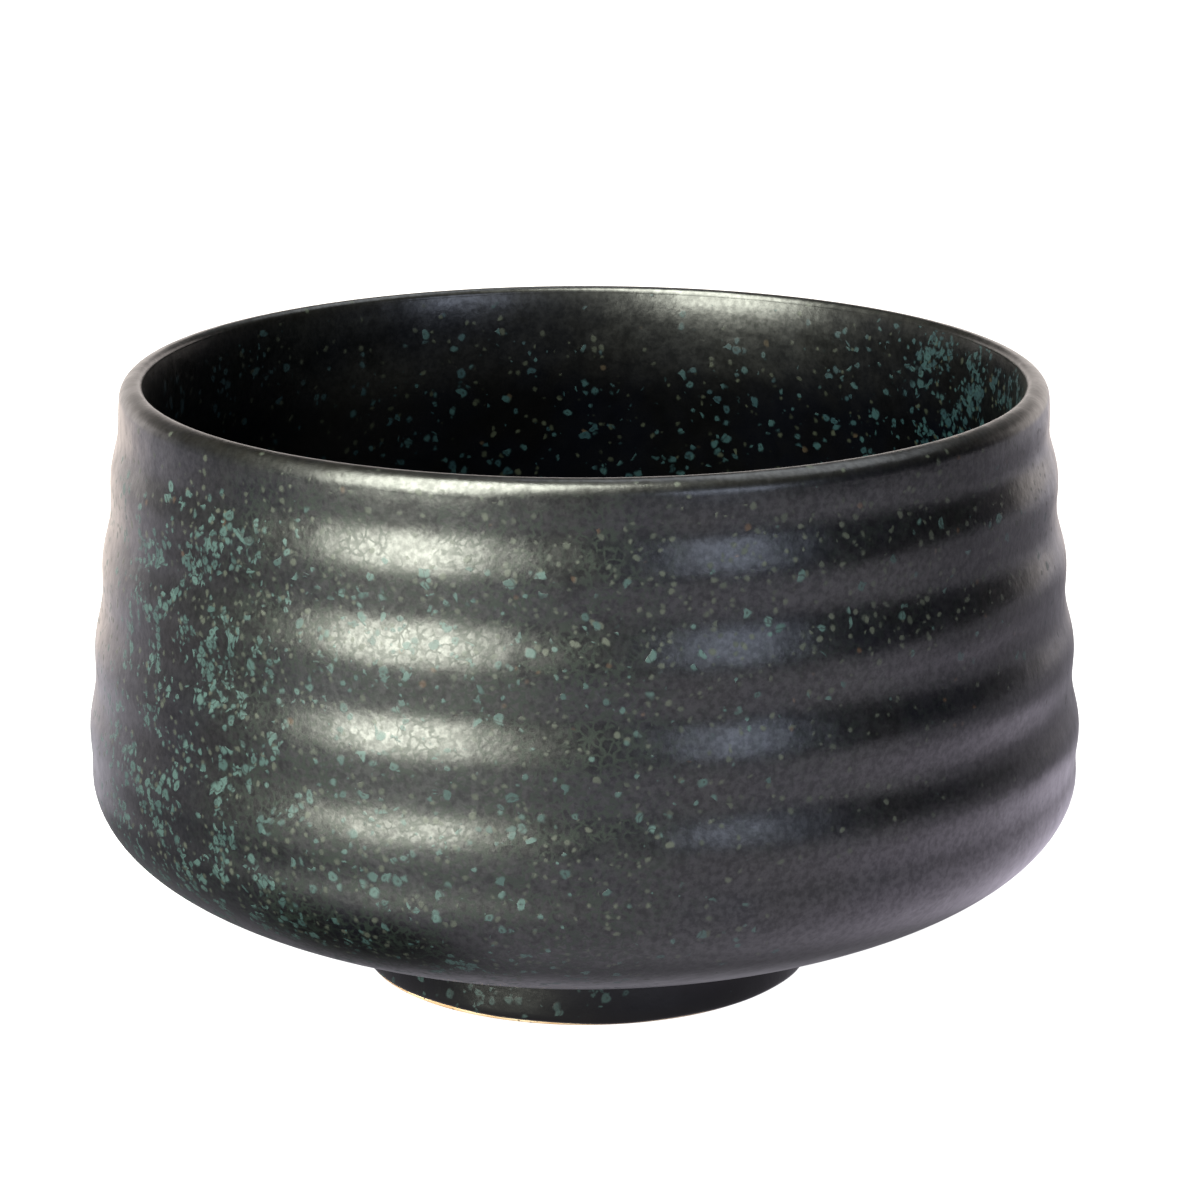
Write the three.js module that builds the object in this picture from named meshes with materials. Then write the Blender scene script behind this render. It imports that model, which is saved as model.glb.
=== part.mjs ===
// A tea bowl for whisked matcha: a thrown stoneware body on a low foot ring, under a dark glaze.
// Millimetres, +Z up. The bowl stands on z = 0 and every piece is turned about the Z axis.
import * as THREE from 'three';

// Outside, measured on the glazed surface
const widestRadius = 59.9;
const widestHeight = 26;
const lipCrestRadius = 53.3;
const lipCrestHeight = 72.8;
const lipOuterRound = 2;
const lipInnerRound = 0.8;
const wallLean = THREE.MathUtils.degToRad(3.4);
const wallStiffnessLow = 11;
const wallStiffnessHigh = 12.3;
const undersideRise = THREE.MathUtils.degToRad(17.3);
const undersideStiffness = 20;
const shoulderStiffness = 10.4;

// Throwing rings left by the potter's fingers
const ringDepth = 0.22;
const ringPitch = 10.26;
const ringCrestHeight = 31.1;
const ringsFadeInAt = 22;
const ringsFullAt = 30;
const ringsFadeOutAt = 60;
const ringsGoneAt = 68;

// Inside, measured on the glazed surface
const innerWidestRadius = 55.4;
const innerWidestHeight = 32;
const innerLipFlare = THREE.MathUtils.degToRad(13);
const innerFlareStiffness = 8;
const wellFloorHeight = 11;
const innerWallStiffness = 14;
const innerCornerDrop = 16;
const innerCornerReach = 42;

// Foot ring and its recess
const footJointRadius = 27;
const footJointHeight = 5.4;
const footStandingRadius = 27.5;
const footInnerStandingRadius = 22.9;
const recessRadius = 22;
const footEdgeRound = 0.5;

// Glaze coats
const glazeThickness = 0.5;
const glazeStopsAt = 0.8;

// Facets
const turnSegments = 48;
const wallSteps = 18;
const undersideSteps = 7;
const lipSteps = 4;
const innerWallSteps = 6;
const wellSteps = 9;
const edgeSteps = 2;

const seatHeight = footJointHeight + glazeThickness;
const lipOuterRadius = lipCrestRadius + lipOuterRound;
const lipInnerRadius = lipCrestRadius - lipInnerRound;
const clayFootRadius = footStandingRadius - glazeThickness;

const at = (radius, height) => new THREE.Vector2(radius, height);

function bow(start, startHandle, endHandle, end, steps) {
  return new THREE.CubicBezierCurve(start, startHandle, endHandle, end).getPoints(steps);
}

function arc(centre, round, fromDegrees, toDegrees, steps) {
  const points = [];
  for (let i = 0; i <= steps; i += 1) {
    const angle = THREE.MathUtils.degToRad(fromDegrees + ((toDegrees - fromDegrees) * i) / steps);
    points.push(at(centre.x + round * Math.cos(angle), centre.y + round * Math.sin(angle)));
  }
  return points;
}

// How far a throwing ring stands out of the wall at a height
function ringSwell(height) {
  const fadeIn = THREE.MathUtils.smoothstep(height, ringsFadeInAt, ringsFullAt);
  const fadeOut = 1 - THREE.MathUtils.smoothstep(height, ringsFadeOutAt, ringsGoneAt);
  const phase = (2 * Math.PI * (height - ringCrestHeight)) / ringPitch;
  return ringDepth * fadeIn * fadeOut * Math.cos(phase);
}

// Every point of a line moved square to it by a distance, to its left as the line runs
function offsetLine(line, distance) {
  return line.map((point, i) => {
    const before = line[Math.max(i - 1, 0)];
    const after = line[Math.min(i + 1, line.length - 1)];
    const along = after.clone().sub(before).normalize();
    return at(point.x - along.y * distance, point.y + along.x * distance);
  });
}

// Glazed outside from the foot joint up to the lip's outer round
function outsideLine() {
  const joint = at(footJointRadius, footJointHeight);
  const rise = at(Math.cos(undersideRise), Math.sin(undersideRise)).multiplyScalar(undersideStiffness);
  const widest = at(widestRadius, widestHeight);
  const underside = bow(
    joint, joint.clone().add(rise), at(widestRadius, widestHeight - shoulderStiffness), widest, undersideSteps,
  );
  const top = at(lipOuterRadius, lipCrestHeight - lipOuterRound);
  const lean = at(Math.sin(wallLean), -Math.cos(wallLean)).multiplyScalar(wallStiffnessHigh);
  const wall = bow(
    widest, at(widestRadius, widestHeight + wallStiffnessLow), top.clone().add(lean), top, wallSteps,
  );
  const line = [...underside, ...wall.slice(1, -1)];
  return line.map((point) => at(point.x + ringSwell(point.y), point.y));
}

// Lip from its outer side over the crest, for the glazed surface or the clay below it
const lipOutside = (inset) => arc(
  at(lipCrestRadius, lipCrestHeight - lipOuterRound), lipOuterRound - inset, 0, 90, lipSteps,
);
const lipInside = (inset) => arc(
  at(lipCrestRadius, lipCrestHeight - lipInnerRound), lipInnerRound - inset, 90, 180, lipSteps,
);

// Glazed inside from below the lip to the middle of the well
function insideLine() {
  const top = at(lipInnerRadius, lipCrestHeight - lipInnerRound);
  const flare = at(-Math.sin(innerLipFlare), -Math.cos(innerLipFlare)).multiplyScalar(innerFlareStiffness);
  const widest = at(innerWidestRadius, innerWidestHeight);
  const wall = bow(
    top, top.clone().add(flare),
    at(innerWidestRadius, innerWidestHeight + innerWallStiffness), widest, innerWallSteps,
  );
  const well = bow(
    widest, at(innerWidestRadius, innerWidestHeight - innerCornerDrop),
    at(innerCornerReach, wellFloorHeight), at(0, wellFloorHeight), wellSteps,
  );
  return [...wall.slice(1), ...well.slice(1)];
}

const outsideGlazed = outsideLine();
const insideGlazed = insideLine();
const outsideClay = offsetLine(outsideGlazed, glazeThickness).slice(1);
const insideClay = offsetLine(insideGlazed, glazeThickness);
insideClay[insideClay.length - 1].x = 0;

const footTopClay = at(footJointRadius - glazeThickness, seatHeight);
const footGlazeEndClay = at(clayFootRadius, glazeStopsAt);
const recessTopClay = at(recessRadius, seatHeight);
const recessGlazeEndClay = at(footInnerStandingRadius, glazeStopsAt);

// Thrown body: the underside's flat seat, outside, lip, inside and well
function clayBowlOutline() {
  return [
    at(0, seatHeight), recessTopClay, footTopClay, ...outsideClay,
    ...lipOutside(glazeThickness), ...lipInside(glazeThickness).slice(1), ...insideClay,
  ];
}

// Ring of clay joined under the body, with a bare rounded standing edge
function footRingOutline() {
  const outerEdge = arc(at(clayFootRadius - footEdgeRound, footEdgeRound), footEdgeRound, -90, 0, edgeSteps);
  const innerEdge = arc(
    at(footInnerStandingRadius + footEdgeRound, footEdgeRound), footEdgeRound, 180, 270, edgeSteps,
  );
  return [
    recessTopClay, recessGlazeEndClay, ...innerEdge, ...outerEdge,
    footGlazeEndClay, footTopClay, recessTopClay,
  ];
}

// Coat on the outside: from the inner side of the lip over its crest, down the wall, underside and
// foot, stopping above the standing edge
function outerGlazeOutline() {
  const glazed = [
    at(footStandingRadius, glazeStopsAt), ...outsideGlazed, ...lipOutside(0), ...lipInside(0).slice(1),
  ];
  const clay = [
    footGlazeEndClay, footTopClay, ...outsideClay,
    ...lipOutside(glazeThickness), ...lipInside(glazeThickness).slice(1),
  ];
  return [...glazed, ...clay.reverse(), glazed[0]];
}

// Coat on the inside: from under the lip to the middle of the well
function innerGlazeOutline() {
  const glazed = [lipInside(0).at(-1), ...insideGlazed];
  const clay = [lipInside(glazeThickness).at(-1), ...insideClay];
  return [...clay.reverse(), ...glazed];
}

// Coat inside the foot ring: the recess's ceiling and its side
function recessGlazeOutline() {
  const ceiling = at(recessRadius - glazeThickness, footJointHeight);
  const end = at(footInnerStandingRadius - glazeThickness, glazeStopsAt);
  return [at(0, footJointHeight), ceiling, end, recessGlazeEndClay, recessTopClay, at(0, seatHeight)];
}

function turned(name, outline, finish) {
  const geometry = new THREE.LatheGeometry(outline, turnSegments);
  geometry.rotateX(Math.PI / 2);
  const mesh = new THREE.Mesh(geometry, new THREE.MeshStandardMaterial(finish));
  mesh.name = name;
  return mesh;
}

const bareClay = { color: 0xcdb392, roughness: 0.9, metalness: 0 };
const outerGlaze = { color: 0x3c3d40, roughness: 0.42, metalness: 0 };
const innerGlaze = { color: 0x15181a, roughness: 0.3, metalness: 0 };

const bowl = new THREE.Group();
bowl.name = 'matcha_bowl';
bowl.add(turned('clay_bowl', clayBowlOutline(), bareClay));
bowl.add(turned('foot_ring', footRingOutline(), bareClay));
bowl.add(turned('outer_glaze', outerGlazeOutline(), outerGlaze));
bowl.add(turned('inner_glaze', innerGlazeOutline(), innerGlaze));
bowl.add(turned('recess_glaze', recessGlazeOutline(), outerGlaze));

export default bowl;
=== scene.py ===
import math
from collections import namedtuple

import bpy
import numpy as np
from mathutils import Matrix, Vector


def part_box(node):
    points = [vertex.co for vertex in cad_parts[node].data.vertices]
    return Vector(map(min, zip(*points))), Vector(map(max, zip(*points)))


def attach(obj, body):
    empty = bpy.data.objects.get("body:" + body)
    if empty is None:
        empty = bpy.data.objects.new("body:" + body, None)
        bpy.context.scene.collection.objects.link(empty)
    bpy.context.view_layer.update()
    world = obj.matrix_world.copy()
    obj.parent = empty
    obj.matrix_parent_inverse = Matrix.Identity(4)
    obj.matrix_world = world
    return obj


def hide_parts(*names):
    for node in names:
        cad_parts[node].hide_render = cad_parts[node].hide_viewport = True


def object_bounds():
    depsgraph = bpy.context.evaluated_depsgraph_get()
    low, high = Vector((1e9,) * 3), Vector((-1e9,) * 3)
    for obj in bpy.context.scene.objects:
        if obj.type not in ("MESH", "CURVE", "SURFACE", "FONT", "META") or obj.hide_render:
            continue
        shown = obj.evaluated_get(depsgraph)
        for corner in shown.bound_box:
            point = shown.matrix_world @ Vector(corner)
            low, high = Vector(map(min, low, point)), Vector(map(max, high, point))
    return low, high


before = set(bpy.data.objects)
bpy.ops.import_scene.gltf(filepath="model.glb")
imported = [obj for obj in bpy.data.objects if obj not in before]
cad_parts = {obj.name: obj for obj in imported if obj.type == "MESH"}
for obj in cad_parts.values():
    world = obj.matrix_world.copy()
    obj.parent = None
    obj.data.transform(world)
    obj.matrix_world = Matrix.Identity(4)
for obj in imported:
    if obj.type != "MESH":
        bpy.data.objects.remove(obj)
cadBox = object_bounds()

mm = 0.001
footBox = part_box("foot_ring")
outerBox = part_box("outer_glaze")
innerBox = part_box("inner_glaze")
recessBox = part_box("recess_glaze")
print("frame loaded")

# the bowl's shape, in metres and degrees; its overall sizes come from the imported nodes
bowlForm = {
    "glazeThickness": 0.5 * mm,
    "widestHeight": 26 * mm,
    "swellAllowance": 0.07 * mm,  # how far the widest place stays inside its node for the rings
    "lipOuterRound": 2 * mm,
    "lipInnerRound": 0.8 * mm,
    "lipOverhang": 6.6 * mm,  # how far the lip's crest stands inside the widest place
    "wallLean": 5.8,
    "wallStiffnessLow": 11 * mm,
    "wallStiffnessHigh": 12.3 * mm,
    "undersideRise": 17.3,
    "undersideStiffness": 20 * mm,
    "shoulderStiffness": 10.4 * mm,
    "innerWidestHeight": 32 * mm,
    "innerLipFlare": 13,
    "innerFlareStiffness": 8 * mm,
    "innerWallStiffness": 14 * mm,
    "innerCornerDrop": 16 * mm,
    "innerCornerReach": 42 * mm,
    "footJointInset": 0.5 * mm,
    "footEdgeRound": 0.5 * mm,
    "recessSlope": 0.9 * mm,
}

# the throwing rings, a little higher at the front and deeper at the right
ringForm = {
    "depth": 0.22 * mm,
    "pitch": 10.26 * mm,
    "crestHeight": 31.1 * mm,
    "fadeIn": (22 * mm, 30 * mm),
    "fadeOut": (65 * mm, 72 * mm),
    "frontLift": 0.4 * mm,
    "frontAngle": -20,
    "depthChange": 0.12,
    "changeHeight": 9 * mm,
    "deeperGrooves": 0.4,  # the grooves' extra depth, as a share, where they are deepest
    "deepestAngle": 65,
}

# how finely the pieces are turned
turning = {
    "columns": 400,
    "bodyColumns": 360,
    "recessColumns": 240,
    "undersideRows": 36,
    "wallRows": 96,
    "lipRows": 10,
    "innerWallRows": 44,
    "wellRows": 40,
    "footRows": 12,
    "footEdgeRows": 7,
    "footTopRows": 4,
    "ceilingRows": 16,
    "recessSideRows": 8,
    "recessTopRows": 6,
    "beadRows": 5,
    "outerBackStep": 6,  # the coats' hidden clay sides keep every so many rows
    "innerBackStep": 3,
    "sharpAngle": 38,
}

glazeThickness = bowlForm["glazeThickness"]
lipTop = outerBox[1].z
clayFootRadius = footBox[1].x
footRadius = clayFootRadius + glazeThickness
seatHeight = footBox[1].z
footJoint = np.array([footRadius - bowlForm["footJointInset"], seatHeight - glazeThickness])
widestRadius = outerBox[1].x - bowlForm["swellAllowance"]
lipCrestRadius = widestRadius - bowlForm["lipOverhang"]
innerWidestRadius = innerBox[1].x - glazeThickness
wellFloor = innerBox[0].z + glazeThickness
glazeStop = outerBox[0].z
footInnerRadius = recessBox[1].x
recessRadius = footInnerRadius - bowlForm["recessSlope"]


def smooth(low, high, value):
    # 0 below low, 1 above high, 3t^2 - 2t^3 between
    t = np.clip((value - low) / (high - low), 0, 1)
    return t * t * (3 - 2 * t)


def band(low, high, soft, value):
    # 1 between low and high, fading to 0 over soft on either side
    return smooth(low - soft, low + soft, value) * (1 - smooth(high - soft, high + soft, value))


def point(radius, height):
    # a place on a profile
    return np.array([radius, height], float)


def bow(start, startHandle, endHandle, end, count):
    # cubic Bezier: (1-t)^3 a + 3(1-t)^2 t b + 3(1-t) t^2 c + t^3 d
    t = np.linspace(0, 1, count)[:, None]
    return (
        (1 - t) ** 3 * start
        + 3 * (1 - t) ** 2 * t * startHandle
        + 3 * (1 - t) * t ** 2 * endHandle
        + t ** 3 * end
    )


def arc(centre, across, up, fromDegrees, toDegrees, count):
    # centre + (across cos a, up sin a)
    a = np.radians(np.linspace(fromDegrees, toDegrees, count))
    return np.stack([centre[0] + across * np.cos(a), centre[1] + up * np.sin(a)], 1)


def straight(start, end, count):
    # points spread evenly from start to end
    return start + np.linspace(0, 1, count)[:, None] * (end - start)


def movedIn(line, distance):
    # each point moved square to the line's own direction, to its left
    along = np.gradient(line, axis=0)
    along /= np.linalg.norm(along, axis=1)[:, None]
    return line + distance * np.stack([-along[:, 1], along[:, 0]], 1)


def slant(degrees, length):
    # downwards and outwards: length times (sin a, -cos a)
    return length * np.array([math.sin(math.radians(degrees)), -math.cos(math.radians(degrees))])


# outside from the foot joint to the lip's outer side: two Beziers that meet upright where it's widest
def outsideLine():
    f = bowlForm
    rise = math.radians(f["undersideRise"])
    widest = point(widestRadius, f["widestHeight"])
    underside = bow(
        footJoint,
        footJoint + f["undersideStiffness"] * point(math.cos(rise), math.sin(rise)),
        widest - point(0, f["shoulderStiffness"]),
        widest,
        turning["undersideRows"],
    )
    top = point(lipCrestRadius + f["lipOuterRound"], lipTop - f["lipOuterRound"])
    wall = bow(
        widest,
        widest + point(0, f["wallStiffnessLow"]),
        top + slant(f["wallLean"], f["wallStiffnessHigh"]),
        top,
        turning["wallRows"],
    )
    return np.vstack([underside, wall[1:]])


# over the lip: a broad outer round and a tight inner one, meeting at the crest
def lipLine():
    f = bowlForm
    outer = point(lipCrestRadius, lipTop - f["lipOuterRound"])
    inner = point(lipCrestRadius, lipTop - f["lipInnerRound"])
    outerRound = arc(outer, f["lipOuterRound"], f["lipOuterRound"], 0, 90, turning["lipRows"])
    innerRound = arc(inner, f["lipInnerRound"], f["lipInnerRound"], 90, 180, turning["lipRows"])
    return np.vstack([outerRound[1:], innerRound[1:]])


# inside from under the lip to the middle of the well: two Beziers that meet upright where it's widest
def insideLine():
    f = bowlForm
    top = point(lipCrestRadius - f["lipInnerRound"], lipTop - f["lipInnerRound"])
    widest = point(innerWidestRadius, f["innerWidestHeight"])
    wall = bow(
        top,
        top + slant(-f["innerLipFlare"], f["innerFlareStiffness"]),
        widest + point(0, f["innerWallStiffness"]),
        widest,
        turning["innerWallRows"],
    )
    well = bow(
        widest,
        widest - point(0, f["innerCornerDrop"]),
        point(f["innerCornerReach"], wellFloor),
        point(0, wellFloor),
        turning["wellRows"],
    )
    return np.vstack([wall[1:], well[1:]])


outside = outsideLine()
lip = lipLine()
inside = insideLine()
glazedLine = np.vstack([outside, lip, inside])
clayLine = movedIn(glazedLine, glazeThickness)
clayLine[-1, 0] = 0
underLip = len(outside) + len(lip) - 1
footTop = point(footJoint[0] - glazeThickness, seatHeight)


def ringSwell(angle, height):
    # depth times a cosine of the height, faded in and out, with crests lifted towards the front and
    # grooves deeper than the crests are high towards the deepest angle
    r = ringForm
    towardsFront = (1 + np.cos(angle - math.radians(r["frontAngle"]))) / 2
    lift = r["frontLift"] * towardsFront ** 2
    fade = smooth(*r["fadeIn"], height) * (1 - smooth(*r["fadeOut"], height))
    uneven = 1 - r["depthChange"] * (0.5 + 0.5 * np.sin(2 * angle + height / r["changeHeight"]))
    wave = np.cos(2 * np.pi * (height - lift - r["crestHeight"]) / r["pitch"])
    deeper = r["deeperGrooves"] * (1 + np.cos(angle - math.radians(r["deepestAngle"]))) / 2
    return r["depth"] * fade * uneven * (wave - deeper * (1 - wave))


def turnedPiece(name, line, swell=None, columns=None, droop=None):
    # the profile carried once round Z: x = r sin a, y = -r cos a, with a measured from the front
    columns = columns or turning["columns"]
    onAxis = line[0, 0] < 1e-9
    angle = np.linspace(0, 2 * np.pi, columns, endpoint=False)[None, :]
    rows = line[1:-1] if onAxis else line
    height = np.repeat(rows[:, 1:2], columns, 1)
    radius = np.repeat(rows[:, 0:1], columns, 1)
    if swell is not None:
        radius = radius + swell(angle, height)
    if droop is not None:
        height = height - droop(angle, height)
    grid = np.stack([radius * np.sin(angle), -radius * np.cos(angle), height], -1)
    count = len(rows)
    index = np.arange(count * columns).reshape(count, columns)
    upper = index[1:] if onAxis else np.roll(index, -1, 0)
    lower = index[:-1] if onAxis else index
    quads = np.stack([lower, np.roll(lower, -1, 1), np.roll(upper, -1, 1), upper], -1).reshape(-1, 4)
    vertices = grid.reshape(-1, 3)
    faces = quads.tolist()
    if onAxis:
        poles = np.array([[0, 0, line[0, 1]], [0, 0, line[-1, 1]]])
        first = count * columns
        vertices = np.vstack([vertices, poles])
        start = np.stack([np.full(columns, first), np.roll(index[0], -1), index[0]], -1)
        end = np.stack([np.full(columns, first + 1), index[-1], np.roll(index[-1], -1)], -1)
        faces += start.tolist() + end.tolist()
    mesh = bpy.data.meshes.new(name)
    mesh.from_pydata(vertices.tolist(), [], faces)
    mesh.shade_smooth()
    mesh.set_sharp_from_angle(angle=math.radians(turning["sharpAngle"]))
    piece = bpy.data.objects.new(name, mesh)
    bpy.context.scene.collection.objects.link(piece)
    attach(piece, "root")
    return piece


def places(piece):
    # each vertex's angle from the front and its height
    co = np.empty(len(piece.data.vertices) * 3)
    piece.data.vertices.foreach_get("co", co)
    x, y, z = co.reshape(-1, 3).T
    return np.arctan2(x, -y), z


def paintAttribute(piece, name, values):
    # one value from 0 to 1 for each vertex
    attribute = piece.data.attributes.new(name, "FLOAT", "POINT")
    attribute.data.foreach_set("value", np.clip(values, 0, 1).astype(np.float32))


# how thick each kind of mark lies: its angle from the front in degrees, its height in millimetres
outerFlecks = [
    # kind, strength, from angle, to angle, angle fade, from height, to height, height fade
    ("teal", 0.74, -70, -33, 9, 14, 66, 3),
    ("teal", 0.30, -100, -68, 8, 14, 62, 3),
    ("teal", 0.44, -36, -6, 12, 8, 62, 5),
    ("teal", 0.44, -56, -2, 12, 8, 26, 4),
    ("teal", 0.17, -8, 16, 10, 10, 60, 6),
    ("teal", 0.08, 16, 74, 14, 44, 66, 6),
    ("teal", 0.50, -80, 8, 12, 1, 6, 1),
    ("teal", 0.60, 150, 215, 20, 22, 62, 8),
    ("teal", 0.40, 95, 150, 20, 34, 66, 6),
    ("cream", 0.80, -60, 74, 14, 51, 70, 4),
    ("cream", 0.45, -60, 34, 14, 30, 54, 4),
    ("cream", 0.50, -100, -66, 8, 14, 68, 3),
    ("cream", 0.55, -80, 14, 16, 9, 40, 6),
    ("cream", 0.14, 14, 78, 14, 28, 52, 5),
    ("cream", 0.45, 100, 230, 20, 26, 70, 8),
    ("rust", 0.08, -60, 70, 20, 40, 71, 6),
    ("pits", 0.45, 5, 80, 12, 8, 30, 5),
    ("net", 1.00, -43, 8, 10, 14, 71, 3),
    ("net", 0.30, 8, 285, 20, 30, 71, 6),
]

innerFlecks = [
    ("teal", 1.00, 76, 130, 9, 42, 72, 3),
    ("teal", 0.26, 128, 146, 10, 48, 71, 4),
    ("teal", 0.19, 140, 262, 16, 34, 68, 8),
    ("teal", 0.34, 225, 275, 12, 40, 70, 5),
    ("cream", 0.60, 76, 122, 10, 44, 71, 4),
    ("cream", 0.24, 120, 262, 16, 44, 70, 4),
    ("rust", 0.03, 60, 215, 16, 50, 71, 4),
]

recessFlecks = [
    ("teal", 0.30, -180, 180, 10, 4, 6.5, 0.5),
    ("cream", 0.20, -180, 180, 10, 1, 6.5, 1),
]

fleckKinds = ("teal", "cream", "rust", "pits", "net")


def paintFlecks(piece, patches):
    # a patch is its strength times a band round the bowl times a band up it; the strongest patch wins
    angle, height = places(piece)
    for kind in fleckKinds:
        thick = np.zeros(len(angle))
        for patch in patches:
            if patch[0] != kind:
                continue
            strength, fromAngle, toAngle, angleFade, fromHeight, toHeight, heightFade = patch[1:]
            middle = math.radians((fromAngle + toAngle) / 2)
            half = (toAngle - fromAngle) / 2
            away = np.degrees(np.abs((angle - middle + np.pi) % (2 * np.pi) - np.pi))
            across = 1 - smooth(half - angleFade, half + angleFade, away)
            up = band(fromHeight * mm, toHeight * mm, heightFade * mm, height)
            thick = np.maximum(thick, strength * across * up)
        paintAttribute(piece, kind, thick)


def nodeMaterial(name):
    # a material with one Principled shader
    material = bpy.data.materials.new(name)
    material.use_nodes = True
    nodes = material.node_tree.nodes
    nodes.clear()
    output = nodes.new("ShaderNodeOutputMaterial")
    shader = nodes.new("ShaderNodeBsdfPrincipled")
    material.node_tree.links.new(shader.outputs[0], output.inputs[0])
    return material, shader


# short calls that add a node to a material and return its output
class NodeBench:
    def __init__(self, material):
        self.tree = material.node_tree
        self.objectPlace = self.tree.nodes.new("ShaderNodeTexCoord").outputs["Object"]

    def put(self, socket, value):
        if isinstance(value, bpy.types.NodeSocket):
            self.tree.links.new(value, socket)
        else:
            socket.default_value = value

    def noise(self, scale, detail, rough=0.5, colour=False):
        node = self.tree.nodes.new("ShaderNodeTexNoise")
        self.put(node.inputs["Vector"], self.objectPlace)
        node.inputs["Scale"].default_value = scale
        node.inputs["Detail"].default_value = detail
        node.inputs["Roughness"].default_value = rough
        return node.outputs["Color" if colour else "Fac"]

    def cells(self, scale, place, feature="F1"):
        node = self.tree.nodes.new("ShaderNodeTexVoronoi")
        node.feature = feature
        self.put(node.inputs["Vector"], place)
        node.inputs["Scale"].default_value = scale
        return node.outputs

    def math(self, operation, a, b=0.0, c=0.0):
        node = self.tree.nodes.new("ShaderNodeMath")
        node.operation = operation
        self.put(node.inputs[0], a)
        self.put(node.inputs[1], b)
        self.put(node.inputs[2], c)
        return node.outputs[0]

    def vector(self, operation, a, b=None, scale=None):
        node = self.tree.nodes.new("ShaderNodeVectorMath")
        node.operation = operation
        self.put(node.inputs[0], a)
        if b is not None:
            self.put(node.inputs[1], b)
        if scale is not None:
            self.put(node.inputs["Scale"], scale)
        return node.outputs[0]

    def distance(self, a, b):
        node = self.tree.nodes.new("ShaderNodeVectorMath")
        node.operation = "DISTANCE"
        self.put(node.inputs[0], a)
        self.put(node.inputs[1], b)
        return node.outputs["Value"]

    def ramp(self, value, low, high, toLow=0.0, toHigh=1.0):
        node = self.tree.nodes.new("ShaderNodeMapRange")
        node.interpolation_type = "SMOOTHSTEP"
        self.put(node.inputs["Value"], value)
        self.put(node.inputs["From Min"], low)
        self.put(node.inputs["From Max"], high)
        self.put(node.inputs["To Min"], toLow)
        self.put(node.inputs["To Max"], toHigh)
        return node.outputs["Result"]

    def mix(self, share, a, b):
        node = self.tree.nodes.new("ShaderNodeMix")
        node.data_type = "RGBA"
        self.put(node.inputs["Factor"], share)
        self.put(node.inputs[6], a)
        self.put(node.inputs[7], b)
        return node.outputs[2]

    def split(self, colour):
        node = self.tree.nodes.new("ShaderNodeSeparateColor")
        self.put(node.inputs[0], colour)
        return node.outputs

    def attribute(self, name):
        node = self.tree.nodes.new("ShaderNodeAttribute")
        node.attribute_name = name
        return node.outputs["Fac"]

    def bump(self, height, distance, normal=None):
        node = self.tree.nodes.new("ShaderNodeBump")
        node.inputs["Strength"].default_value = 1
        node.inputs["Distance"].default_value = distance
        self.put(node.inputs["Height"], height)
        if normal is not None:
            self.put(node.inputs["Normal"], normal)
        return node.outputs[0]


def clustered(bench, kind, form):
    # the painted thickness times a noise ramp that breaks it into clusters
    scale, low, high = form["clusters"]
    clusters = bench.ramp(bench.noise(scale, 1), low, high, 0, form.get("most", 1))
    return bench.math("MULTIPLY", bench.attribute(kind), clusters)


# a dot's shape, in shares of its cell
dotForm = {
    "smallest": 0.7,
    "spread": 0.5,
    "softEdge": 0.3,
    "core": (0.07, 0.22),
    "driftScale": 0.9,
}

Dots = namedtuple("Dots", "spot core tone")


def dots(bench, kind, form):
    # warped cells; a cell holds a dot where its own random number is under the clustered thickness
    d = dotForm
    cells, size = form["cells"], form["size"]
    drift = bench.noise(cells * d["driftScale"], 1, colour=True)
    drift = bench.vector("SUBTRACT", drift, (0.5, 0.5, 0.5))
    place = bench.vector("ADD", bench.objectPlace, bench.vector("SCALE", drift, scale=form["warp"]))
    cell = bench.cells(cells, place)
    chances = bench.split(cell["Color"])
    picked = bench.math("LESS_THAN", chances[0], clustered(bench, kind, form))
    reach = bench.math("MULTIPLY_ADD", chances[1], size * d["spread"], size * d["smallest"])
    inner = bench.math("SUBTRACT", reach, d["softEdge"])
    blob = bench.ramp(cell["Distance"], inner, reach, 1, 0)
    core = bench.ramp(cell["Distance"], *d["core"], 1, 0)
    return Dots(bench.math("MULTIPLY", picked, blob), core, chances[2])


# the strokes' shape: edge and core in shares of the width, breaks as limits of a noise
wormForm = {
    "edge": 0.55,
    "core": (0.06, 0.2),
    "breaks": (0.78, 0.85),
    "breakScale": 3.4,
    "thickHelps": 0.36,
}


def worms(bench, kind, form, lines):
    # short curling strokes: the places where a noise passes its middle, broken up by a finer noise
    w = wormForm
    scale, width = lines["scale"], lines["width"]
    ridge = bench.math("ABSOLUTE", bench.math("SUBTRACT", bench.noise(scale, 1), 0.5))
    stroke = bench.ramp(ridge, width * w["edge"], width, 1, 0)
    finer = bench.noise(scale * w["breakScale"], 1)
    breaks = bench.math("MULTIPLY_ADD", clustered(bench, kind, form), w["thickHelps"], finer)
    stroke = bench.math("MULTIPLY", stroke, bench.ramp(breaks, *w["breaks"]))
    low, high = w["core"]
    core = bench.ramp(ridge, width * low, width * high, 1, 0)
    return stroke, core


def matteNet(bench, form):
    # the edges of warped cells, faded in patches and broken up by a finer noise
    drift = bench.vector("SCALE", bench.noise(*form["drift"], colour=True), scale=form["warp"])
    place = bench.vector("ADD", bench.objectPlace, drift)
    edge = bench.cells(form["cells"], place, "DISTANCE_TO_EDGE")["Distance"]
    scale, low, high, least = form["patches"]
    patchy = bench.ramp(bench.noise(scale, 1), low, high, least, 1)
    patchy = bench.math("MULTIPLY", bench.attribute("net"), patchy)
    scale, low, high, least = form["breaks"]
    broken = bench.math("MULTIPLY", patchy, bench.ramp(bench.noise(scale, 1), low, high, least, 1))
    return bench.math("MULTIPLY", bench.ramp(edge, *form["edge"], 1, 0), broken)


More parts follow.
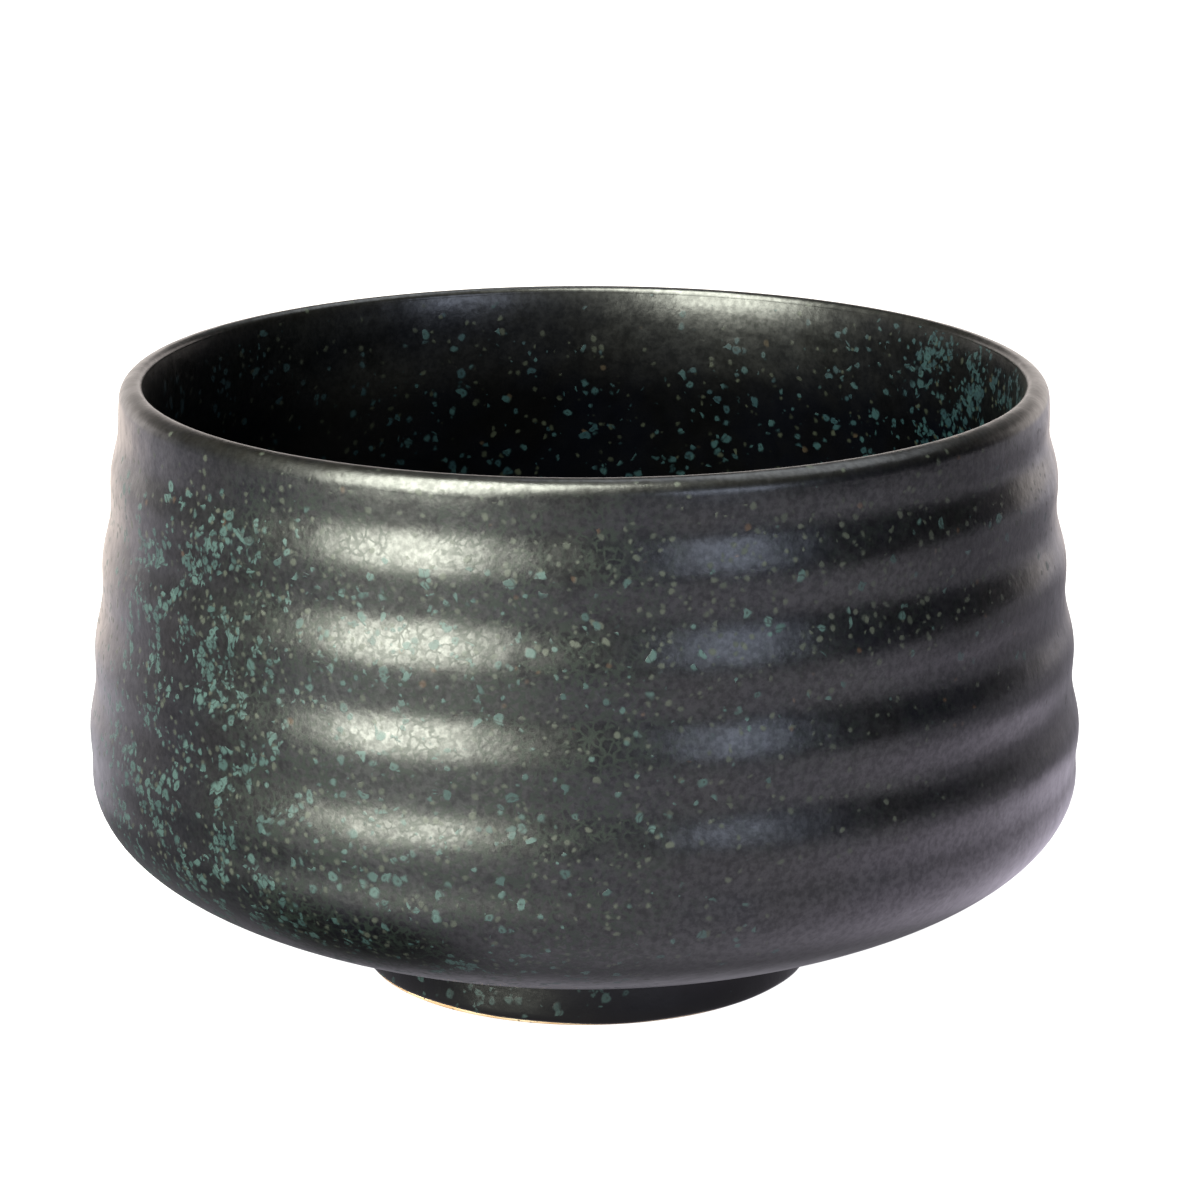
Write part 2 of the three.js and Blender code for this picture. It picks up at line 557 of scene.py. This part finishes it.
# the glaze: its colours, how rough and shiny it is, and its relief
glazeLook = {
    "base": (0.0008, 0.00075, 0.0010, 1),
    "baseBlue": (0.0007, 0.0008, 0.0018, 1),
    "thinBrown": (0.0036, 0.0032, 0.0027, 1),
    "pit": (0.0006, 0.0006, 0.0006, 1),
    "net": (0.0045, 0.0070, 0.0055, 1),
    "tealDeep": (0.0085, 0.0200, 0.0195, 1),
    "tealPale": (0.0210, 0.0395, 0.0375, 1),
    "creamDeep": (0.0100, 0.0125, 0.0095, 1),
    "creamPale": (0.0210, 0.0240, 0.0185, 1),
    "rust": (0.0200, 0.0120, 0.0075, 1),
    "coreDarkness": 0.6,
    "mottleSpan": (0.35, 0.7),
    "thinLeast": 0.5,
    "noiseSpan": (0.3, 0.7),
    "roughness": (0.285, 0.33),
    "netRoughness": 0.37,
    "fleckRoughness": 0.44,
    "ior": 1.5,
    "shine": (0.38, 0.62),
    "netShine": 0.34,
    "fleckShine": 0.4,
    "dullShine": 0.32,
    "waveDepth": 0.09 * mm,
    "skinDepth": 0.018 * mm,
    "fleckDepth": 0.006 * mm,
}

# the glaze's marks: a cluster's noise scale with its ramp, cells in a metre, dot size and warp, and
# most, which caps the share of cells that hold a dot
marks = {
    "teal": {"clusters": (230, 0.40, 0.60), "cells": 860, "size": 0.60, "warp": 1.0 * mm},
    "smallTeal": {
        "clusters": (120, 0.36, 0.60), "most": 0.22, "cells": 1250, "size": 0.50, "warp": 0.6 * mm,
    },
    "cream": {"clusters": (170, 0.22, 0.52), "cells": 900, "size": 0.42, "warp": 0.8 * mm},
    "rust": {"clusters": (150, 0.40, 0.60), "cells": 800, "size": 0.40, "warp": 0.5 * mm},
    "pits": {"clusters": (120, 0.30, 0.60), "cells": 900, "size": 0.30, "warp": 0.3 * mm},
    "strokes": {"scale": 330, "width": 0.078},
    "net": {
        "cells": 860,
        "drift": (560, 2, 0.6),
        "warp": 1.9 * mm,
        "edge": (0.02, 0.22),
        "patches": (200, 0.30, 0.55, 0.30),
        "breaks": (900, 0.35, 0.55, 0.25),
    },
}

# the noises that vary the glaze: scale, detail and how rough the detail is
glazeNoises = {
    "mottle": (90, 3, 0.6),
    "thin": (700, 2),
    "gloss": (420, 2),
    "shine": (1300, 2, 0.6),
    "waves": (230, 1),
    "skin": (1500, 2, 0.55),
}


def glazeMaterial(name, look):
    # the base colour under the net, the thin brown edge, pits, cream, rust and teal marks, in that order
    material, shader = nodeMaterial(name)
    bench = NodeBench(material)
    varied = {kind: bench.noise(*numbers) for kind, numbers in glazeNoises.items()}
    blobs = dots(bench, "teal", marks["teal"])
    small = dots(bench, "teal", marks["smallTeal"])
    stroke, strokeCore = worms(bench, "teal", marks["teal"], marks["strokes"])
    teal = bench.math("MAXIMUM", bench.math("MAXIMUM", blobs.spot, small.spot), stroke)
    tealCore = bench.math("MAXIMUM", blobs.core, strokeCore)
    cream = dots(bench, "cream", marks["cream"])
    rust = dots(bench, "rust", marks["rust"])
    pits = dots(bench, "pits", marks["pits"])
    net = matteNet(bench, marks["net"])
    base = bench.mix(bench.ramp(varied["mottle"], *look["mottleSpan"]), look["base"], look["baseBlue"])
    base = bench.mix(net, base, look["net"])
    thin = bench.ramp(varied["thin"], *look["noiseSpan"], look["thinLeast"], 1)
    thin = bench.math("MULTIPLY", bench.attribute("thin"), thin)
    base = bench.mix(thin, base, look["thinBrown"])
    base = bench.mix(pits.spot, base, look["pit"])
    base = bench.mix(cream.spot, base, bench.mix(cream.tone, look["creamDeep"], look["creamPale"]))
    base = bench.mix(rust.spot, base, look["rust"])
    tealColour = bench.mix(blobs.tone, look["tealDeep"], look["tealPale"])
    darkness = bench.math("MULTIPLY", tealCore, look["coreDarkness"])
    base = bench.mix(teal, base, bench.mix(darkness, tealColour, look["base"]))
    bench.put(shader.inputs["Base Color"], base)
    flecked = bench.math("MAXIMUM", teal, cream.spot)
    rough = bench.ramp(varied["gloss"], *look["noiseSpan"], *look["roughness"])
    rough = bench.ramp(net, 0, 1, rough, look["netRoughness"])
    rough = bench.ramp(flecked, 0, 1, rough, look["fleckRoughness"])
    bench.put(shader.inputs["Roughness"], rough)
    shine = bench.ramp(varied["shine"], *look["noiseSpan"], *look["shine"])
    shine = bench.ramp(net, 0, 1, shine, look["netShine"])
    shine = bench.ramp(flecked, 0, 1, shine, look["fleckShine"])
    shine = bench.ramp(bench.attribute("dull"), 0, 1, shine, look["dullShine"])
    bench.put(shader.inputs["Specular IOR Level"], shine)
    shader.inputs["IOR"].default_value = look["ior"]
    waves = bench.bump(varied["waves"], look["waveDepth"])
    skin = bench.bump(varied["skin"], look["skinDepth"], normal=waves)
    relief = bench.math("SUBTRACT", flecked, pits.spot)
    bench.put(shader.inputs["Normal"], bench.bump(relief, look["fleckDepth"], normal=skin))
    return material


clayLook = {
    "pale": (0.62, 0.47, 0.30, 1),
    "toasted": (0.45, 0.25, 0.12, 1),
    "grit": (0.12, 0.08, 0.05, 1),
    "gritShare": 0.12,
    "gritCells": 1400,
    "gritEdge": (0.1, 0.3),
    "grain": (2600, 3, 0.6),
    "grainSpan": (0.3, 0.7),
    "toast": (160, 2),
    "toastSpan": (0.35, 0.7),
    "roughness": (0.78, 0.92),
    "grainDepth": 0.05 * mm,
}


def clayMaterial(name, look):
    # pale clay toasted in places, with dark grit in a share of small cells
    material, shader = nodeMaterial(name)
    bench = NodeBench(material)
    grain = bench.noise(*look["grain"])
    toast = bench.ramp(bench.noise(*look["toast"]), *look["toastSpan"])
    colour = bench.mix(toast, look["pale"], look["toasted"])
    cell = bench.cells(look["gritCells"], bench.objectPlace)
    gritty = bench.math("LESS_THAN", bench.split(cell["Color"])[0], look["gritShare"])
    grit = bench.math("MULTIPLY", gritty, bench.ramp(cell["Distance"], *look["gritEdge"], 1, 0))
    bench.put(shader.inputs["Base Color"], bench.mix(grit, colour, look["grit"]))
    bench.put(shader.inputs["Roughness"], bench.ramp(grain, *look["grainSpan"], *look["roughness"]))
    bench.put(shader.inputs["Normal"], bench.bump(grain, look["grainDepth"]))
    return material


# the inside coat is the same glaze, darker and bluer; its darker colours are painted shade of the bowl's
# inside
innerShadedLook = {
    **glazeLook,
    "base": (0.0002, 0.0002, 0.0003, 1),
    "baseBlue": (0.0002, 0.0003, 0.0008, 1),
    "tealDeep": (0.0030, 0.0092, 0.0120, 1),
    "tealPale": (0.0070, 0.0175, 0.0190, 1),
    "creamDeep": (0.0050, 0.0062, 0.0042, 1),
    "creamPale": (0.0110, 0.0130, 0.0090, 1),
    "rust": (0.0120, 0.0090, 0.0060, 1),
    "dullShine": 0.12,
}

outerGlaze = glazeMaterial("dark speckled glaze outside", glazeLook)
innerGlaze = glazeMaterial("dark speckled glaze inside, darkened as painted shade", innerShadedLook)
bareClay = clayMaterial("bare stoneware", clayLook)
print("materials mixed")


def finishPiece(piece, node, material):
    # its material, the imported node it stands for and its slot
    piece.data.materials.append(material)
    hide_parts(node)


# the thrown body, between the two coats: flat seat, outside, lip, inside, well
def buildThrownBody():
    line = np.vstack([
        point(0, seatHeight),
        point(recessRadius, seatHeight),
        footTop,
        clayLine[1:],
    ])
    piece = turnedPiece("thrown_body", line, ringSwell, turning["bodyColumns"])
    finishPiece(piece, "clay_bowl", bareClay)


# the foot ring with its rounded bare standing edge
def buildFootRing():
    r = bowlForm["footEdgeRound"]
    outerRound = arc(point(clayFootRadius - r, r), r, r, -90, 0, turning["footEdgeRows"])
    innerRound = arc(point(footInnerRadius + r, r), r, r, 180, 270, turning["footEdgeRows"])
    outerSide = straight(outerRound[-1], footTop, turning["footRows"])
    top = straight(footTop, point(recessRadius, seatHeight), turning["footTopRows"])
    innerSide = straight(top[-1], innerRound[0], turning["footRows"])
    line = np.vstack([innerRound, outerRound, outerSide[1:], top[1:], innerSide[1:-1]])
    piece = turnedPiece("foot_ring_clay", line)
    finishPiece(piece, "foot_ring", bareClay)


# how the outside coat's end runs down the foot, and where it lies thin or dull
outerCoatForm = {
    "droop": 0.72 * mm,
    "droopFade": 1.5 * mm,
    "level": 0.48,
    "tongues": [(1, 0.36, 0.3), (5, 0.08, 1), (11, 0.05, 0)],  # times round, strength, start
    "thinAtLip": 0.75,
    "lipRange": (-1.8 * mm, -0.4 * mm),  # from the lip's top
    "thinAtFoot": 0.6,
    "footRange": 1.6 * mm,  # above the coat's end
    "dullRange": (-0.6 * mm, 0.1 * mm),  # from the foot joint
}


def glazeDroop(angle, height):
    # the droop times a level plus a few sines of the angle, fading out above the coat's end
    c = outerCoatForm
    tongues = c["level"]
    for times, strength, start in c["tongues"]:
        tongues = tongues + strength * np.sin(times * angle + start)
    return c["droop"] * tongues * (1 - smooth(glazeStop, glazeStop + c["droopFade"], height))


# the outside coat: bead on the foot, foot side, underside, wall and lip, then back along the clay
def buildOuterCoat():
    c = outerCoatForm
    t = glazeThickness
    bead = arc(point(clayFootRadius, glazeStop + t), t, t, -90, 0, turning["beadRows"])
    side = straight(bead[-1], footJoint, turning["footRows"])
    glazed = glazedLine[: underLip + 1]
    clay = clayLine[1 : underLip + 1][:: -turning["outerBackStep"]]
    line = np.vstack([bead, side[1:], glazed[1:], clay, footTop])
    piece = turnedPiece("outer_coat", line, ringSwell, droop=glazeDroop)
    height = places(piece)[1]
    lipEdge = smooth(*c["lipRange"], height - lipTop)
    footEdge = 1 - smooth(0, c["footRange"], height - glazeStop)
    paintAttribute(piece, "thin", c["thinAtLip"] * lipEdge + c["thinAtFoot"] * footEdge)
    paintAttribute(piece, "dull", 1 - smooth(*c["dullRange"], height - footJoint[1]))
    paintFlecks(piece, outerFlecks)
    finishPiece(piece, "outer_glaze", outerGlaze)


# where the inside coat lies thin or dull
innerCoatForm = {
    "thinAtLip": 0.5,
    "lipRange": (-1.8 * mm, -0.8 * mm),  # from the lip's top
    "dullBand": (24 * mm, 61.5 * mm),
    "dullFade": 5.5 * mm,
}


# the inside coat: back along the clay from the middle, then under the lip down to the well
def buildInnerCoat():
    c = innerCoatForm
    clay = clayLine[underLip:][::-1]
    clay = np.vstack([clay[: -1 : turning["innerBackStep"]], clay[-1:]])
    line = np.vstack([clay, glazedLine[underLip:]])
    piece = turnedPiece("inner_coat", line)
    height = places(piece)[1]
    paintAttribute(piece, "thin", c["thinAtLip"] * smooth(*c["lipRange"], height - lipTop))
    paintAttribute(piece, "dull", band(*c["dullBand"], c["dullFade"], height))
    paintFlecks(piece, innerFlecks)
    finishPiece(piece, "inner_glaze", innerGlaze)


# where the recess's coat lies thin
recessCoatForm = {
    "thinRange": 1.5 * mm,  # above the coat's end
}


# the coat inside the foot ring: ceiling, side, bead, and back along the clay
def buildRecessCoat():
    t = glazeThickness
    end = point(footInnerRadius, glazeStop)
    corner = point(recessRadius - t, footJoint[1])
    ceiling = straight(point(0, footJoint[1]), corner, turning["ceilingRows"])
    side = straight(corner, end - point(t, -t), turning["recessSideRows"])
    bead = arc(end + point(0, t), t, t, 180, 270, turning["beadRows"])
    clayCorner = point(recessRadius, seatHeight)
    claySide = straight(end, clayCorner, turning["recessTopRows"])
    clayTop = straight(clayCorner, point(0, seatHeight), turning["recessSideRows"])
    line = np.vstack([ceiling, side[1:-1], bead, claySide[1:], clayTop[1:]])
    piece = turnedPiece("recess_coat", line, None, turning["recessColumns"])
    height = places(piece)[1]
    paintAttribute(piece, "thin", 1 - smooth(0, recessCoatForm["thinRange"], height - glazeStop))
    paintFlecks(piece, recessFlecks)
    finishPiece(piece, "recess_glaze", outerGlaze)


buildThrownBody()
buildFootRing()
buildOuterCoat()
buildInnerCoat()
buildRecessCoat()
print("pieces turned")

# a round pale sweep: flat round the bowl, curving up far behind it
sweepForm = {
    "flatRadius": 2.5,
    "outerRadius": 3.3,
    "wallHeight": 0.75,
    "flatRows": 8,
    "curveRows": 16,
    "columns": 96,
    "glow": 0.965,
    "pale": (0.2, 0.2, 0.2, 1),
}


def buildSweep():
    s = sweepForm
    columns = s["columns"]
    flat = straight(point(0, 0), point(s["flatRadius"], 0), s["flatRows"])
    centre = point(s["flatRadius"], s["wallHeight"])
    reach = s["outerRadius"] - s["flatRadius"]
    curve = arc(centre, reach, s["wallHeight"], -90, 0, s["curveRows"])
    rows = np.vstack([flat[1:], curve[1:]])
    angle = np.linspace(0, 2 * np.pi, columns, endpoint=False)
    grid = np.stack([
        rows[:, 0:1] * np.sin(angle),
        -rows[:, 0:1] * np.cos(angle),
        np.repeat(rows[:, 1:2], columns, 1),
    ], -1)
    index = np.arange(len(rows) * columns).reshape(len(rows), columns)
    around = np.roll(index, -1, 1)
    quads = np.stack([index[:-1], index[1:], around[1:], around[:-1]], -1).reshape(-1, 4)
    mesh = bpy.data.meshes.new("sweep")
    mesh.from_pydata(grid.reshape(-1, 3).tolist(), [], quads.tolist() + [index[0].tolist()])
    mesh.shade_smooth()
    sweep = bpy.data.objects.new("sweep", mesh)
    bpy.context.scene.collection.objects.link(sweep)
    material, shader = nodeMaterial("pale sweep")
    shader.inputs["Base Color"].default_value = s["pale"]
    shader.inputs["Roughness"].default_value = 0.9
    shader.inputs["Specular IOR Level"].default_value = 0
    shader.inputs["Emission Color"].default_value = (1, 1, 1, 1)
    shader.inputs["Emission Strength"].default_value = s["glow"]
    mesh.materials.append(material)
    sweep.visible_diffuse = False
    sweep.visible_glossy = False
    sweep.visible_shadow = False


# the table top that the bowl mirrors: it glows in place of a lit white floor, with painted pools of
# light and painted shadows in patches
tableForm = {
    "radius": 0.6,
    "columns": 96,
    "glow": (1.18, 1.13, 1.26, 1),
    # painted light and painted shadow: the bright patches are pools of light on the floor, the dark ones
    # painted shade, among them the bowl's shadow round and under its foot
    "patches": [
        # right, back, full within, gone beyond, glow
        (-0.27, -0.01, 0.07, 0.18, (0.34, 0.32, 0.32, 1)),
        (0.24, 0.09, 0.11, 0.22, (0.38, 0.36, 0.41, 1)),
        (-0.06, 0.36, 0.18, 0.28, (2.40, 2.08, 1.90, 1)),
        (-0.12, -0.17, 0.05, 0.13, (2.50, 2.55, 2.40, 1)),
        (0.095, -0.01, 0.045, 0.10, (1.45, 1.33, 1.58, 1)),
        (-0.08, -0.02, 0.04, 0.085, (0.26, 0.26, 0.28, 1)),
        (0.00, 0.00, 0.046, 0.064, (0.28, 0.27, 0.30, 1)),
        (0.00, 0.00, 0.034, 0.043, (0.48, 0.46, 0.52, 1)),
        (-0.036, -0.050, 0.010, 0.030, (0.06, 0.06, 0.06, 1)),
    ],
}


def buildTable():
    # the glow, with its painted light and shade, is mixed outwards from each patch's middle, and a later
    # patch lies over the earlier ones
    t = tableForm
    angle = np.linspace(0, 2 * np.pi, t["columns"], endpoint=False)
    rim = t["radius"] * np.stack([np.cos(angle), np.sin(angle), np.zeros(t["columns"])], 1)
    mesh = bpy.data.meshes.new("table")
    mesh.from_pydata(rim.tolist(), [], [list(range(t["columns"]))])
    table = bpy.data.objects.new("table", mesh)
    bpy.context.scene.collection.objects.link(table)
    material, shader = nodeMaterial("table glowing with painted light and shadow")
    bench = NodeBench(material)
    glow = t["glow"]
    for right, back, full, gone, paintedLightAndShade in t["patches"]:
        away = bench.distance(bench.objectPlace, (right, back, 0))
        glow = bench.mix(bench.ramp(away, full, gone), paintedLightAndShade, glow)
    shader.inputs["Base Color"].default_value = (0, 0, 0, 1)
    shader.inputs["Specular IOR Level"].default_value = 0
    bench.put(shader.inputs["Emission Color"], glow)
    shader.inputs["Emission Strength"].default_value = 1
    mesh.materials.append(material)
    table.visible_camera = False
    table.visible_shadow = False


# softboxes: angle from the front and rise above the floor in degrees, distance and size in metres
softboxes = [
    {
        "name": "key", "angle": -41.5, "rise": 43, "away": 1.2,
        "size": (0.82, 1.9), "glow": 22, "colour": (0.97, 1, 0.86),
    },
    {
        "name": "window", "angle": 34, "rise": 17, "away": 1.6,
        "size": (0.6, 0.5), "glow": 4.5, "colour": (0.72, 0.8, 1),
    },
    {
        "name": "front card", "angle": 0, "rise": 5, "away": 1.7,
        "size": (3.0, 0.6), "glow": 0.25, "colour": (1, 1, 1),
    },
    {
        "name": "left card", "angle": -100, "rise": 5, "away": 1.7,
        "size": (3.0, 0.6), "glow": 0.3, "colour": (1, 1, 1),
    },
    {
        "name": "backdrop", "angle": 180, "rise": 7, "away": 1.7,
        "size": (4.4, 0.9), "glow": 1.5, "colour": (1, 0.91, 0.86),
    },
    {
        "name": "ceiling", "angle": 135, "rise": 62, "away": 1.3,
        "size": (1.2, 0.6), "glow": 2.2, "colour": (0.9, 0.95, 1),
    },
]


def buildSoftbox(box):
    # power is four times the glow times the area, so a softbox's brightness doesn't change with its size
    light = bpy.data.lights.new(box["name"], "AREA")
    light.shape = "RECTANGLE"
    light.size, light.size_y = box["size"]
    light.color = box["colour"]
    light.energy = box["glow"] * 4 * box["size"][0] * box["size"][1]
    lamp = bpy.data.objects.new(box["name"], light)
    bpy.context.scene.collection.objects.link(lamp)
    turn = math.radians(box["angle"])
    rise = math.radians(box["rise"])
    lamp.location = (
        box["away"] * math.cos(rise) * math.sin(turn),
        -box["away"] * math.cos(rise) * math.cos(turn),
        box["away"] * math.sin(rise),
    )
    lamp.rotation_euler = (math.pi / 2 - rise, 0, turn)
    lamp.visible_camera = False


roomGlow = (0.008, 0.008, 0.009, 1)


def buildRoom():
    world = bpy.data.worlds.new("room")
    bpy.context.scene.world = world
    world.use_nodes = True
    world.node_tree.nodes["Background"].inputs["Color"].default_value = roomGlow


# the camera stands in front, a little above the lip, and aims just over the middle of the bowl
cameraPlace = {
    "elevation": 16.29,
    "distance": 0.50466,
    "lens": 124.5,
    "aimRight": 1.86 * mm,
    "aimUp": 8.19 * mm,
}


def buildCamera():
    c = cameraPlace
    low, high = cadBox
    middle = (low + high) / 2
    rise = math.radians(c["elevation"])
    camera = bpy.data.objects.new("camera", bpy.data.cameras.new("camera"))
    bpy.context.scene.collection.objects.link(camera)
    camera.data.lens = c["lens"]
    camera.data.sensor_width = 36
    camera.data.clip_start = 0.01
    camera.location = (
        middle.x,
        middle.y - c["distance"] * math.cos(rise),
        middle.z + c["distance"] * math.sin(rise),
    )
    aim = middle.copy()
    aim.x += c["aimRight"]
    aim.z += c["aimUp"]
    camera.rotation_euler = (aim - camera.location).to_track_quat("-Z", "Y").to_euler()
    bpy.context.scene.camera = camera


buildSweep()
buildTable()
for box in softboxes:
    buildSoftbox(box)
buildRoom()
buildCamera()
bpy.context.scene.view_settings.view_transform = "Standard"
print("stage and lights set")
